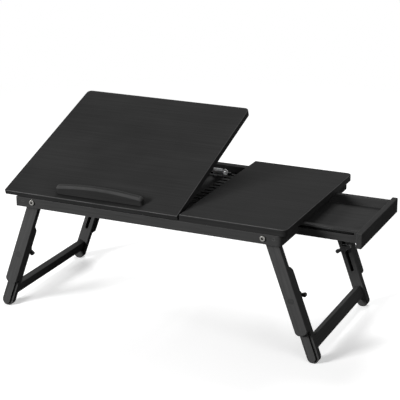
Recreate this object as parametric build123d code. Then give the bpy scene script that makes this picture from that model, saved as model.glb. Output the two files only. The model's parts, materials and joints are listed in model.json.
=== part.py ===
from build123d import *
import os
from math import atan2, cos, degrees, hypot, radians, sin, tan

# Laptop table: a tilting panel beside a fixed side board, on a rail frame with a drawer and two
# pairs of folding legs that slide to length. Sizes are in millimetres and angles in degrees.
# X runs to the right along the front, Y to the back and Z up, and the origin is on the floor
# under the middle of the table top. It stands as in use: panel up, drawer out, legs unfolded.

# Table top
table_width = 550
table_depth = 344
top_height = 248
board_thickness = 12
side_board_width = 197.5
panel_gap = 2.3
panel_back_setback = 3
board_corner_radius = 10
panel_front_radius = 3
panel_back_radius = 9
board_edge_radius = 1.2

# Rail frame
rail_height = 18
rail_thickness = 15
end_rail_thickness = 11
frame_left_inset = 23
frame_right_inset = 8
rail_corner_radius = 8
divider_width = 16
divider_height = 11.5
divider_bearing = 8.5
frame_dowel_radius = 3
frame_dowel_depth = 9
top_screw_inset = 22.5
top_screw_spacing = 100
top_screw_radius = 2
top_screw_head_radius = 4
top_screw_head_height = 2.5
top_screw_grip = 6

# Fits and cuts
running_gap = 0.05
fixed_gap = 0.1
body_gap = 0.3
cut_overrun = 5

# Panel hinges
tilt_angle = 19.5
tilt_limit = 35
hinge_inset = 4.5
hinge_length = 40
hinge_spacing = 170
knuckle_radius = 2.5
knuckle_room = 0.4
hinge_pin_radius = 1.2
leaf_thickness = 1.2
rail_leaf_depth = 9
panel_leaf_depth = 16
knuckle_share = 0.5

# Rest bar on the panel
rest_length = 174
rest_centre_x = -84
rest_setback = 12
rest_thickness = 12
rest_end_height = 14.5
rest_rise = 7.5
rest_end_radius = 7
rest_edge_radius = 5
rest_dowel_radius = 3
rest_dowel_depth = 7
rest_dowel_spacing = 110

# Prop under the panel
prop_run_share = 0.46
prop_drop = 4.2
prop_slope = 1.55
prop_rod_radius = 3.4
prop_rod_bore = 2.4
prop_rod_reach = 36
prop_pin_radius = 2
prop_eye_radius = 3.4
prop_foot_eye_radius = 4.4
prop_arm_thickness = 2.5
prop_arm_top_width = 9
prop_arm_foot_width = 17
prop_arm_spacing = 32
prop_centre_x = 8
pull_thickness = 1.6
pull_setback = 6
pull_ring_radius = 5.8
pull_ring_bore = 2.5
pull_ring_offset = 10
pull_ring_lift = 4.9
pull_fan_reach = 15.5
pull_fan_top = 10.6
pull_fan_drop = 3
pull_neck_reach = 5
bracket_thickness = 1.5
bracket_depth = 24
lug_thickness = 2
lug_radius = 3.6
pin_head_length = 1.5
pin_head_radius = 3

# Toothed racks, and the board and slat that carry them
rack_width = 16.5
rack_height = 3
rack_tooth_depth = 2.2
rack_pitch = 18
rack_arm_gap = 1
rack_start_share = -0.12
rack_board_thickness = 2.3
rack_board_margin = 7
slat_width = 20
slat_share = -0.23
slat_thickness = 5.5

# Legs
leg_splay = 20
pivot_drop = 7.6
pivot_clearance = 0.4
leg_end_gap = 1.8
leg_width = 23
leg_thickness = 13
leg_end_radius = 8
leg_edge_radius = 1.2
lane_gap = 0.4
upper_leg_length = 187
lower_leg_width = 22
lower_leg_top = 67
foot_flat_depth = 0.5
clamp_drop = 123
extend_travel = 13
retract_travel = 45
slot_width = 6.8
slot_end_gap = 1
tongue_width = 12
tongue_height = 4
crossbar_depth = 22.5
crossbar_thickness = 12
crossbar_height = 30
crossbar_edge_radius = 1.5
crossbar_dowel_radius = 3
crossbar_dowel_depth = 9

# Leg pivots and stops
pivot_bolt_radius = 3
pivot_head_radius = 5
pivot_head_height = 3
pivot_socket_width = 4.4
pivot_socket_depth = 2
pivot_head_edge_radius = 0.8
pivot_washer_radius = 7
pivot_washer_thickness = 1
pivot_nut_radius = 5.5
pivot_nut_length = 3
stop_pin_radius = 2.5
stop_pin_drop = 6
stop_pin_gap = 0.2

# Leg clamps
clamp_bolt_radius = 3
clamp_head_radius = 5.8
clamp_head_height = 2
clamp_head_room = 0.2
clamp_washer_radius = 7
clamp_washer_thickness = 1
knob_radius = 7
knob_length = 11
knob_floor = 2
wing_span = 32
wing_lobe_radius = 4.5
wing_neck = 5
wing_thickness = 7
wing_turns = {"left_front": -25, "left_back": 40, "right_front": 14, "right_back": -8}
wing_edge_radius = 1

# Drawer
drawer_open = 108
drawer_front_gap = 0.4
drawer_length = 170
drawer_width = 182
drawer_front_width = 208
drawer_front_height = 27.2
drawer_front_thickness = 10
drawer_front_drop = 0.5
drawer_front_radius = 1.5
drawer_side_height = 21.8
drawer_side_thickness = 9
drawer_side_drop = 1.2
drawer_side_gap = 1.5
drawer_bottom_thickness = 3
drawer_bottom_lift = 3
drawer_bottom_tongue = 4
drawer_dowel_radius = 2.5
drawer_dowel_depth = 6
drawer_dowel_drop = 12
drawer_stop_travel = 30
drawer_stop_height = 6
drawer_stop_width = 40
drawer_stop_length = 10

# Drawer runners
runner_groove_drop = 3.6
runner_groove_height = 4.8
runner_groove_depth = 4
runner_gap = 0.4
bearer_gap = 2
bearer_thickness = 13
bearer_start_gap = 6
runner_end_gap = 8

# Levels and limits worked out from the sizes above
quarter_turn = 90
left_x = -table_width / 2
right_x = table_width / 2
front_y = -table_depth / 2
back_y = table_depth / 2
underside_z = top_height - board_thickness
rail_bottom_z = underside_z - rail_height
rail_z = (rail_bottom_z, underside_z)
side_board_x = right_x - side_board_width
panel_x = (left_x, side_board_x - panel_gap)
frame_left_x = left_x + frame_left_inset
frame_right_x = right_x - frame_right_inset
rail_inner_y = back_y - rail_thickness
divider_x = (side_board_x + divider_bearing - divider_width, side_board_x + divider_bearing)
divider_z = (underside_z - divider_height, underside_z)
dowel_z = underside_z - divider_height / 2

# Lanes of the legs, as distances from the middle plane: rail, washer, upper leg, lower leg, knob
upper_outer = rail_inner_y - pivot_washer_thickness - body_gap
upper_inner = upper_outer - leg_thickness
lower_outer = upper_inner - lane_gap
lower_inner = lower_outer - leg_thickness
clamp_washer_outer = lower_inner - body_gap
knob_outer = clamp_washer_outer - clamp_washer_thickness - body_gap
knob_inner = knob_outer - knob_length
through_y = (-back_y - cut_overrun, 0)

# Leg pivots, placed so that an unfolded leg clears the end rail and a folded one the boards
leg_edge = pivot_drop - pivot_clearance
leg_outer_edge = leg_width - leg_edge
leg_centre_x = (leg_edge - leg_outer_edge) / 2
pivot_z = underside_z - pivot_drop
splay_cos = cos(radians(leg_splay))
splay_sin = sin(radians(leg_splay))
leg_reach = leg_outer_edge / splay_cos + (pivot_z - rail_bottom_z) * tan(radians(leg_splay))
pivot_inset = end_rail_thickness + leg_reach + leg_end_gap
pivot_x = {"left": frame_left_x + pivot_inset, "right": frame_right_x - pivot_inset}
leg_line_z = pivot_z - leg_centre_x * splay_sin
foot_drop = (leg_line_z - lower_leg_width / 2 + foot_flat_depth) / splay_cos
crossbar_drop = (leg_line_z - crossbar_height) / splay_cos
sides = ("left", "right")
lanes = ("front", "back")

# Tilt axis and prop: panel pivot and prop have one length, so the prop's foot runs straight
hinge_y = front_y + hinge_inset
hinge_z = underside_z + body_gap / 2
tilt_axis = Axis((0, hinge_y, hinge_z), (1, 0, 0))
panel_z = (underside_z + body_gap, top_height)
prop_run = prop_run_share * table_depth
prop_length = hypot(prop_run, prop_drop)
prop_angle = degrees(atan2(prop_drop, prop_run)) - 2 * prop_slope - tilt_angle
prop_pivot = (hinge_y + prop_run, hinge_z - prop_drop)
prop_arm_xs = (prop_centre_x - prop_arm_spacing / 2, prop_centre_x + prop_arm_spacing / 2)
rack_offset = (prop_arm_spacing + prop_arm_foot_width + rack_width) / 2 + rack_arm_gap
rack_xs = {"left": prop_centre_x - rack_offset, "right": prop_centre_x + rack_offset}
rack_y = rack_start_share * table_depth
rack_tip = -prop_rod_radius - body_gap
rack_low = rack_tip - rack_height
rack_board_low = rack_low - rack_board_thickness
rack_board_x = (rack_xs["left"] - rack_width / 2, rack_xs["right"] + rack_width / 2 + rack_board_margin)
slat_y = slat_share * table_depth

# Drawer limits in its pulled-out place
drawer_front_x = frame_right_x + drawer_front_gap + drawer_open
drawer_x = (drawer_front_x - drawer_length, drawer_front_x)
drawer_side_z = (underside_z - drawer_side_drop - drawer_side_height, underside_z - drawer_side_drop)
drawer_outer_y = drawer_width / 2
drawer_inner_y = drawer_outer_y - drawer_side_thickness
drawer_floor_z = drawer_side_z[0] + drawer_bottom_lift
groove_z = (drawer_side_z[1] - runner_groove_drop - runner_groove_height, drawer_side_z[1] - runner_groove_drop)
opening_y = drawer_outer_y + drawer_side_gap
bearer_y = drawer_outer_y + bearer_gap


def middle(limits):
    """Middle of a pair of limits."""
    return (limits[0] + limits[1]) / 2


def around(centre, size):
    """Pair of limits of a size about a centre."""
    return (centre - size / 2, centre + size / 2)


def block(x, y, z):
    """Box between three pairs of limits."""
    size = [high - low for low, high in (x, y, z)]
    return Pos(middle(x), middle(y), middle(z)) * Box(*size)


def rod_x(y, z, x, radius):
    """Round bar along X at a place in Y and Z, between the limits x."""
    return Pos(middle(x), y, z) * Rot(0, quarter_turn, 0) * Cylinder(radius, x[1] - x[0])


def rod_y(x, z, y, radius):
    """Round bar along Y at a place in X and Z, between the limits y."""
    return Pos(x, middle(y), z) * Rot(quarter_turn, 0, 0) * Cylinder(radius, y[1] - y[0])


def rod_z(x, y, z, radius):
    """Round bar along Z at a place in X and Y, between the limits z."""
    return Pos(x, y, middle(z)) * Cylinder(radius, z[1] - z[0])


def slab(outline, y):
    """Outline drawn in X and Z, given thickness between the limits y."""
    return extrude(Plane.XZ.offset(-y[1]) * outline, amount=y[1] - y[0])


def prism(points, x):
    """Closed outline of points in Y and Z, given length between the limits x."""
    outline = make_face(Polyline(*points, close=True))
    return extrude(Plane.YZ.offset(x[0]) * outline, amount=x[1] - x[0])


def group(shapes):
    """Separate solids kept as one piece of the list."""
    return Compound([solid for shape in shapes for solid in shape.solids()])


def to_back(shape):
    """Copy on the other side of the middle plane, from front to back."""
    return mirror(shape, about=Plane.XZ)


def both_lanes(shape):
    """Front shape with its copy at the back."""
    return group([shape, to_back(shape)])


def place_leg(shape, side, lane):
    """Take a left front leg piece, drawn straight under its pivot, to its side and lane."""
    placed = Rot(0, leg_splay, 0) * shape
    if side == "right":
        placed = mirror(placed, about=Plane.YZ)
    if lane == "back":
        placed = to_back(placed)
    return Pos(pivot_x[side], 0, pivot_z) * placed


def leg_point(side, across, along):
    """X and Z of a point given across (inwards) and along (down) an unfolded leg."""
    turn = 1 if side == "left" else -1
    x = pivot_x[side] + turn * (across * splay_cos - along * splay_sin)
    return x, pivot_z - across * splay_sin - along * splay_cos


def frame_dowel_places():
    """X places where a dowel joins a cross piece to the front and back rails."""
    left = frame_left_x + end_rail_thickness / 2
    right = frame_right_x - end_rail_thickness / 2
    return (left, middle(divider_x), right)


def top_screw_xs():
    """X places of the screws that hold the side board."""
    first = side_board_x + top_screw_inset
    return (first, first + top_screw_spacing)


def hinge_xs():
    """X places of the middles of the two panel hinges."""
    return around(middle(panel_x), hinge_spacing)


def frame_dowel(x, radius, depth):
    """Dowel across the face where a cross piece meets the front rail."""
    return rod_y(x, dowel_z, (-rail_inner_y - depth, -rail_inner_y + depth), radius)


def top_screw(x, radius_gap, top_gap):
    """Screw up through the front rail into the side board, with room round it."""
    y = -middle((rail_inner_y, back_y))
    shank = rod_z(x, y, (rail_bottom_z, underside_z + top_screw_grip + top_gap), top_screw_radius + radius_gap)
    head_z = (rail_bottom_z, rail_bottom_z + top_screw_head_height)
    return shank + rod_z(x, y, head_z, top_screw_head_radius + radius_gap)


def stop_pin(side, radius):
    """Pin beside a front leg's outer edge that stops the leg when it is unfolded."""
    x, z = leg_point(side, -leg_outer_edge - stop_pin_radius - stop_pin_gap, stop_pin_drop)
    return rod_y(x, z, (front_y, -upper_inner), radius)


def hinge_room(x):
    """Slot that a panel hinge's knuckles turn in."""
    span = around(x, hinge_length + 2 * knuckle_room)
    return rod_x(hinge_y, hinge_z, span, knuckle_radius + knuckle_room)


def leaf_room(x, y_end, z):
    """Shallow pocket that a hinge leaf lies in."""
    return block(around(x, hinge_length + 2 * knuckle_room), (hinge_y, y_end), z)


def rail():
    """Front rail with its holes, as far as front and back are alike."""
    body = block((frame_left_x, frame_right_x), (front_y, -rail_inner_y), rail_z)
    corner = body.edges().filter_by(Axis.Z).group_by(Axis.X)[-1].sort_by(Axis.Y)[0]
    body = fillet(corner, rail_corner_radius)
    for side in sides:
        body -= rod_y(pivot_x[side], pivot_z, through_y, pivot_bolt_radius + fixed_gap)
        body -= stop_pin(side, stop_pin_radius + fixed_gap)
    for x in frame_dowel_places():
        body -= frame_dowel(x, frame_dowel_radius + fixed_gap, frame_dowel_depth + fixed_gap)
    for x in top_screw_xs():
        body -= top_screw(x, fixed_gap, fixed_gap)
    return body


def front_rail():
    """Front rail, with pockets in its top for the panel hinges."""
    body = rail()
    pocket_z = (underside_z - leaf_thickness, underside_z + cut_overrun)
    for x in hinge_xs():
        body -= hinge_room(x)
        body -= leaf_room(x, hinge_y + rail_leaf_depth + knuckle_room, pocket_z)
    return body


def cross_rail(x, y):
    """End rail between limits, with its dowel holes at the front and back rails."""
    body = block(x, y, rail_z)
    hole = frame_dowel(middle(x), frame_dowel_radius + fixed_gap, frame_dowel_depth + fixed_gap)
    return body - hole - to_back(hole)


def centre_divider():
    """Cross piece under the seam between the panel and the side board."""
    body = block(divider_x, (-rail_inner_y, rail_inner_y), divider_z)
    hole = frame_dowel(middle(divider_x), frame_dowel_radius + fixed_gap, frame_dowel_depth + fixed_gap)
    return body - hole - to_back(hole)


def eased_board(x, y, z, corner_radii):
    """Board with rounded upright corners, given by side, and an eased top edge."""
    body = block(x, y, z)
    for (column, row), radius in corner_radii.items():
        edge = body.edges().filter_by(Axis.Z).group_by(Axis.X)[column].sort_by(Axis.Y)[row]
        body = fillet(edge, radius)
    return fillet(body.faces().sort_by(Axis.Z)[-1].edges(), board_edge_radius)


def side_board():
    """Fixed board at the right, with blind holes for its screws."""
    corners = {(-1, 0): board_corner_radius, (-1, -1): board_corner_radius}
    body = eased_board((side_board_x, right_x), (front_y, back_y), (underside_z, top_height), corners)
    for x in top_screw_xs():
        hole = top_screw(x, fixed_gap, fixed_gap)
        body = body - hole - to_back(hole)
    return body


def rest_dowel_holes(radius, depth):
    """Upright dowels between the panel and the rest bar."""
    y = front_y + rest_setback + rest_thickness / 2
    z = (top_height - depth, top_height + depth)
    return [rod_z(x, y, z, radius) for x in around(rest_centre_x, rest_dowel_spacing)]


def tilted(shape):
    """Turn a piece of the panel from lying flat to its raised place."""
    return shape.rotate(tilt_axis, tilt_angle)


def bracket_x():
    """X limits of the prop bracket, outside the two arms."""
    span = prop_arm_spacing + prop_arm_top_width + 2 * lug_thickness + 2 * body_gap
    return around(prop_centre_x, span)


def tilt_panel():
    """Panel that tilts on the front rail, with pockets for its hinges and the prop bracket."""
    corners = {(0, 0): panel_front_radius, (0, -1): panel_back_radius, (-1, -1): panel_back_radius}
    body = eased_board(panel_x, (front_y, back_y - panel_back_setback), panel_z, corners)
    rise = hinge_inset * tan(radians(tilt_limit)) + body_gap
    bevel = [(hinge_y, panel_z[0]), (front_y, panel_z[0] + rise), (front_y - cut_overrun, panel_z[0] + rise),
             (front_y - cut_overrun, panel_z[0] - cut_overrun), (hinge_y, panel_z[0] - cut_overrun)]
    body -= prism(bevel, (panel_x[0] - cut_overrun, panel_x[1] + cut_overrun))
    for x in hinge_xs():
        body -= hinge_room(x)
        pocket_z = (panel_z[0] - cut_overrun, panel_z[0] + leaf_thickness)
        body -= leaf_room(x, hinge_y + panel_leaf_depth + knuckle_room, pocket_z)
    plate_x = (bracket_x()[0] - fixed_gap, bracket_x()[1] + fixed_gap)
    plate_y = around(prop_pivot[0], bracket_depth + 2 * fixed_gap)
    body -= block(plate_x, plate_y, (panel_z[0] - cut_overrun, panel_z[0] + bracket_thickness))
    for hole in rest_dowel_holes(rest_dowel_radius + fixed_gap, rest_dowel_depth + fixed_gap):
        body -= hole
    return tilted(body)


def rest_bar():
    """Arched bar near the panel's front edge that keeps things from sliding off."""
    half = rest_length / 2
    top = rest_end_height + rest_rise
    foot = Polyline((-half, rest_end_height), (-half, 0), (half, 0), (half, rest_end_height))
    arch = ThreePointArc((half, rest_end_height), (0, top), (-half, rest_end_height))
    outline = make_face(foot + arch)
    outline = fillet(outline.vertices().sort_by(Axis.Y)[-2:], rest_end_radius)
    y = (front_y + rest_setback, front_y + rest_setback + rest_thickness)
    body = slab(Pos(rest_centre_x, top_height) * outline, y)
    rims = [edge for face in body.faces().filter_by(Axis.Y) for edge in face.edges()]
    upper = [edge for edge in rims if edge.center().Z > top_height + fixed_gap]
    body = fillet(upper, rest_edge_radius)
    for hole in rest_dowel_holes(rest_dowel_radius + fixed_gap, rest_dowel_depth + fixed_gap):
        body -= hole
    return tilted(body)


def knuckle_limits(x):
    """X limits of a hinge's two outer knuckles and of the middle one between them."""
    whole = around(x, hinge_length)
    inner = around(x, hinge_length * knuckle_share)
    outer = ((whole[0], inner[0] - body_gap), (inner[1] + body_gap, whole[1]))
    return outer, inner


def hinge_knuckle(x):
    """Rolled knuckle of a hinge leaf."""
    return rod_x(hinge_y, hinge_z, x, knuckle_radius)


def rail_leaf(x):
    """Hinge leaf on the front rail, with the two outer knuckles."""
    outer, inner = knuckle_limits(x)
    leaf_z = (underside_z - leaf_thickness, underside_z)
    leaf = block(around(x, hinge_length), (hinge_y, hinge_y + rail_leaf_depth), leaf_z)
    leaf -= rod_x(hinge_y, hinge_z, around(x, hinge_length + cut_overrun), knuckle_radius + knuckle_room)
    for span in outer:
        leaf += hinge_knuckle(span) + block(span, (hinge_y, hinge_y + rail_leaf_depth), leaf_z)
    return leaf - rod_x(hinge_y, hinge_z, around(x, hinge_length + cut_overrun), hinge_pin_radius + fixed_gap)


def panel_leaf(x):
    """Hinge leaf under the panel, with the middle knuckle."""
    outer, inner = knuckle_limits(x)
    leaf_z = (panel_z[0], panel_z[0] + leaf_thickness)
    leaf = block(around(x, hinge_length), (hinge_y, hinge_y + panel_leaf_depth), leaf_z)
    leaf -= rod_x(hinge_y, hinge_z, around(x, hinge_length + cut_overrun), knuckle_radius + knuckle_room)
    leaf += hinge_knuckle(inner) + block(inner, (hinge_y, hinge_y + panel_leaf_depth), leaf_z)
    leaf -= rod_x(hinge_y, hinge_z, around(x, hinge_length + cut_overrun), hinge_pin_radius + running_gap)
    return tilted(leaf)


def prop_pin_bar(radius_gap):
    """Pin through the prop bracket, with a small head at each end."""
    y, z = prop_pivot
    low, high = bracket_x()
    pin = rod_x(y, z, (low, high), prop_pin_radius + radius_gap)
    for head in ((low - pin_head_length, low), (high, high + pin_head_length)):
        pin += rod_x(y, z, head, pin_head_radius)
    return pin


def prop_bracket():
    """Plate let into the panel's underside, with a pair of lugs for each prop arm."""
    y, z = prop_pivot
    low, high = bracket_x()
    body = block((low, high), around(y, bracket_depth), (panel_z[0], panel_z[0] + bracket_thickness))
    for arm_x in prop_arm_xs:
        reach = prop_arm_top_width / 2 + body_gap
        for lug in ((arm_x - reach - lug_thickness, arm_x - reach), (arm_x + reach, arm_x + reach + lug_thickness)):
            body += block(lug, around(y, 2 * lug_radius), (z, panel_z[0])) + rod_x(y, z, lug, lug_radius)
    body -= rod_x(y, z, (low - cut_overrun, high + cut_overrun), prop_pin_radius + fixed_gap)
    return tilted(body)


def place_prop(shape):
    """Take a prop piece, drawn along Y from its pivot, to its leaning place under the panel."""
    turned = Rot(prop_angle, 0, 0) * shape
    pivot = tilted(Pos(0, *prop_pivot) * Box(prop_pin_radius, prop_pin_radius, prop_pin_radius)).center()
    return Pos(0, pivot.Y, pivot.Z) * turned


def prop_arm(x):
    """Flared flat arm with an eye at the panel and an eye round the foot rod, drawn along Y."""
    half_top = prop_arm_top_width / 2
    half_foot = prop_arm_foot_width / 2
    points = [(x - half_top, 0), (x + half_top, 0), (x + half_foot, prop_length), (x - half_foot, prop_length)]
    outline = make_face(Polyline(*points, close=True))
    arm = extrude(outline, amount=prop_arm_thickness / 2, both=True)
    arm += rod_x(0, 0, (x - half_top, x + half_top), prop_eye_radius)
    arm += rod_x(prop_length, 0, (x - half_foot, x + half_foot), prop_foot_eye_radius)
    wide = (x - prop_arm_foot_width, x + prop_arm_foot_width)
    arm -= rod_x(0, 0, wide, prop_pin_radius + running_gap)
    return arm - rod_x(prop_length, 0, wide, prop_rod_radius + fixed_gap)


def prop_pull(x):
    """Upright tab with a finger ring in front of the foot rod, to lift the prop out of the teeth."""
    left = x - pull_fan_reach
    right = x + pull_neck_reach
    points = [(left, -pull_fan_drop), (left, pull_fan_top), (right, pull_fan_top), (right, pull_ring_lift)]
    ring = Pos(x + pull_ring_offset, pull_ring_lift)
    outline = make_face(Polyline(*points, close=True)) + ring * Circle(pull_ring_radius)
    tab = slab(outline - ring * Circle(pull_ring_bore), around(-pull_setback, pull_thickness))
    return Pos(0, prop_length, 0) * Rot(-prop_angle, 0, 0) * tab


def prop_rod():
    """Tube across the prop's foot that rests on the racks."""
    reach = around(prop_centre_x, 2 * prop_rod_reach)
    bore = around(prop_centre_x, 2 * prop_rod_reach + cut_overrun)
    return rod_x(prop_length, 0, reach, prop_rod_radius) - rod_x(prop_length, 0, bore, prop_rod_bore)


def on_slope(shape):
    """Take a piece drawn from the tilt axis to the slope that the prop's foot runs down."""
    return Pos(0, hinge_y, hinge_z) * Rot(-prop_slope, 0, 0) * shape


def rack(x):
    """Strip under the path of the prop's foot, as far as the back rail, with steps that stop it sliding back."""
    start = rack_y - hinge_y - rack_pitch
    count = round((rail_inner_y - rack_y) / rack_pitch) + 2
    points = [(start, rack_low)]
    for tooth in range(count):
        y = start + tooth * rack_pitch
        points += [(y, rack_tip), (y + rack_pitch, rack_tip - rack_tooth_depth)]
    points.append((start + count * rack_pitch, rack_low))
    strip = on_slope(prism(points, around(x, rack_width)))
    return strip & block(around(x, rack_width), (rack_y, rail_inner_y), rail_z)


def rack_board():
    """Thin sloping board between the front and back rails that carries the racks."""
    board = on_slope(block(rack_board_x, (0, table_depth), (rack_board_low, rack_low)))
    return board & block(rack_board_x, (-rail_inner_y, rail_inner_y), rail_z)


def bay_slat():
    """Cross slat from the left end rail to under the rack board."""
    x = (frame_left_x + end_rail_thickness, rack_board_x[1])
    y = (slat_y - hinge_y, slat_y - hinge_y + slat_width)
    return on_slope(block(x, y, (rack_board_low - slat_thickness, rack_board_low)))


def bolt_head():
    """Round head of a leg pivot bolt on the front rail's face, with a hexagon socket."""
    head_y = (front_y - pivot_head_height, front_y)
    head = rod_y(0, 0, head_y, pivot_head_radius)
    head = fillet(head.faces().sort_by(Axis.Y)[0].edges(), pivot_head_edge_radius)
    socket = RegularPolygon(pivot_socket_width / 2, side_count=6, major_radius=False)
    return head - slab(socket, (head_y[0] - cut_overrun, head_y[0] + pivot_socket_depth))


def pivot_bolt():
    """Bolt that a leg turns on, drawn at its pivot."""
    return bolt_head() + rod_y(0, 0, (front_y, -upper_inner + body_gap + pivot_nut_length), pivot_bolt_radius)


def pivot_ring(y, radius):
    """Ring round a leg pivot bolt between the limits y."""
    return rod_y(0, 0, y, radius) - rod_y(0, 0, through_y, pivot_bolt_radius + fixed_gap)


def capsule(width, start, end):
    """Straight outline with round ends down a leg's middle line, between the ends' centres."""
    outline = Pos(leg_centre_x, -middle((start, end))) * Rectangle(width, end - start)
    for drop in (start, end):
        outline += Pos(leg_centre_x, -drop) * Circle(width / 2)
    return outline


def upper_leg():
    """Upper leg bar with its pivot hole, clamp hole and the groove for the lower leg's tongue."""
    bar = Pos(leg_centre_x, -upper_leg_length / 2) * Rectangle(leg_width, upper_leg_length)
    bar = fillet(bar.vertices().group_by(Axis.Y)[0], leg_end_radius)
    leg = slab(bar + Circle(leg_edge), (-upper_outer, -upper_inner))
    leg = fillet(leg.faces().sort_by(Axis.Y)[0].edges(), leg_edge_radius)
    leg -= rod_y(0, 0, through_y, pivot_bolt_radius + running_gap)
    leg -= rod_y(leg_centre_x, -clamp_drop, through_y, clamp_bolt_radius + fixed_gap)
    recess_y = (-upper_outer - cut_overrun, -upper_outer + clamp_head_height)
    leg -= rod_y(leg_centre_x, -clamp_drop, recess_y, clamp_head_radius + clamp_head_room)
    groove_y = (-upper_inner - tongue_height, -upper_inner + cut_overrun)
    groove_x = around(leg_centre_x, tongue_width + 2 * body_gap)
    groove_drop = (-upper_leg_length - cut_overrun, retract_travel - lower_leg_top)
    return leg - block(groove_x, groove_y, groove_drop)


def crossbar_dowel(radius, depth):
    """Dowel between a lower leg and the end of the crossbar."""
    return rod_y(leg_centre_x, -crossbar_drop, around(-lower_inner, 2 * depth), radius)


def crossbar_hole():
    """Hole for a crossbar dowel, with room round it."""
    return crossbar_dowel(crossbar_dowel_radius + fixed_gap, crossbar_dowel_depth + fixed_gap)


def lower_leg():
    """Lower leg bar with its tongue, its clamp slot and its round foot."""
    top = lower_leg_top + lower_leg_width / 2
    leg = slab(capsule(lower_leg_width, top, foot_drop), (-lower_outer, -lower_inner))
    leg = fillet(leg.faces().sort_by(Axis.Y)[-1].edges(), leg_edge_radius)
    tongue_y = (-lower_outer - tongue_height + lane_gap, -lower_outer)
    leg += slab(capsule(tongue_width, top, foot_drop), tongue_y)
    slot_top = clamp_drop - extend_travel - slot_end_gap
    slot_end = clamp_drop + retract_travel + slot_end_gap
    leg -= slab(capsule(slot_width, slot_top, slot_end), through_y)
    return leg - crossbar_hole()


def footed(leg):
    """Cut a placed lower leg level with the floor."""
    return split(leg, bisect_by=Plane.XY, keep=Keep.TOP)


def crossbar():
    """Bar between the two lower legs of one side."""
    x = around(leg_centre_x, crossbar_thickness)
    bar = block(x, (-lower_inner, lower_inner), around(-crossbar_drop, crossbar_depth))
    bar = fillet(bar.edges().filter_by(Axis.Y), crossbar_edge_radius)
    return bar - crossbar_hole() - to_back(crossbar_hole())


def clamp_bolt():
    """Flat-headed bolt that clamps the lower leg against the upper one."""
    head_y = (-upper_outer, -upper_outer + clamp_head_height)
    shank_y = (-upper_outer, -knob_inner - knob_floor - body_gap)
    bolt = rod_y(leg_centre_x, -clamp_drop, head_y, clamp_head_radius)
    return bolt + rod_y(leg_centre_x, -clamp_drop, shank_y, clamp_bolt_radius)


def clamp_washer():
    """Washer between the lower leg and the wing knob."""
    y = (-clamp_washer_outer, -clamp_washer_outer + clamp_washer_thickness)
    ring = rod_y(leg_centre_x, -clamp_drop, y, clamp_washer_radius)
    return ring - rod_y(leg_centre_x, -clamp_drop, through_y, clamp_bolt_radius + fixed_gap)


def wing_knob(turn):
    """Wing knob on the clamp bolt, with two lobes on a round hub, turned by an angle."""
    lobe = wing_span / 2 - wing_lobe_radius
    wings = Rectangle(2 * lobe, wing_neck)
    for x in (-lobe, lobe):
        wings += Pos(x, 0) * Circle(wing_lobe_radius)
    wings = Pos(leg_centre_x, -clamp_drop) * Rot(0, 0, turn) * wings
    wing_body = slab(wings, (-knob_inner - wing_thickness, -knob_inner))
    wing_body = fillet(wing_body.faces().sort_by(Axis.Y)[-1].edges(), wing_edge_radius)
    hub_y = (-knob_outer, -knob_inner)
    knob = rod_y(leg_centre_x, -clamp_drop, hub_y, knob_radius) + wing_body
    bore_y = (-knob_outer - cut_overrun, -knob_inner - knob_floor)
    return knob - rod_y(leg_centre_x, -clamp_drop, bore_y, clamp_bolt_radius + running_gap)


def drawer_side_dowel(radius, depth):
    """Dowel between the front drawer side and the drawer front."""
    y = -middle((drawer_inner_y, drawer_outer_y))
    return rod_x(y, drawer_side_z[1] - drawer_dowel_drop, (drawer_x[1] - depth, drawer_x[1] + depth), radius)


def drawer_back_dowel(radius, depth):
    """Dowel between the front drawer side and the drawer back."""
    x = drawer_x[0] + drawer_side_thickness / 2
    y = (-drawer_inner_y - depth, -drawer_inner_y + depth)
    return rod_y(x, drawer_side_z[1] - drawer_dowel_drop, y, radius)


def drawer_dowels(radius_gap):
    """The drawer's four dowels, with room round them."""
    depth = drawer_dowel_depth + radius_gap
    radius = drawer_dowel_radius + radius_gap
    return both_lanes(group([drawer_side_dowel(radius, depth), drawer_back_dowel(radius, depth)]))


def drawer_floor(gap):
    """Thin drawer bottom, set into grooves all round, with room round it."""
    x = (drawer_x[0] + drawer_side_thickness - drawer_bottom_tongue - gap, drawer_x[1] + drawer_bottom_tongue + gap)
    y = around(0, 2 * (drawer_inner_y + drawer_bottom_tongue + gap))
    return block(x, y, (drawer_floor_z, drawer_floor_z + drawer_bottom_thickness))


def drawer_side():
    """Front drawer side, with the runner groove in its outer face."""
    side = block(drawer_x, (-drawer_outer_y, -drawer_inner_y), drawer_side_z)
    groove_x = (drawer_x[0] - cut_overrun, drawer_x[1] - runner_end_gap)
    groove_y = (-drawer_outer_y - cut_overrun, -drawer_outer_y + runner_groove_depth)
    return side - block(groove_x, groove_y, groove_z) - drawer_floor(fixed_gap) - drawer_dowels(fixed_gap)


def drawer_back():
    """Board across the back of the drawer, between its sides."""
    x = (drawer_x[0], drawer_x[0] + drawer_side_thickness)
    back = block(x, (-drawer_inner_y, drawer_inner_y), drawer_side_z)
    return back - drawer_floor(fixed_gap) - drawer_dowels(fixed_gap)


def drawer_front():
    """Wide board across the front of the drawer, with eased outer edges."""
    x = (drawer_x[1], drawer_x[1] + drawer_front_thickness)
    top = underside_z - drawer_front_drop
    front = block(x, around(0, drawer_front_width), (top - drawer_front_height, top))
    front = fillet(front.faces().sort_by(Axis.X)[-1].edges(), drawer_front_radius)
    return front - drawer_floor(fixed_gap) - drawer_dowels(fixed_gap)


def drawer_stop():
    """Block under the side board that the drawer back meets when the drawer is right out."""
    start = drawer_x[0] + drawer_side_thickness + drawer_stop_travel + body_gap
    z = (underside_z - drawer_stop_height, underside_z)
    return block((start, start + drawer_stop_length), around(0, drawer_stop_width), z)


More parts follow.
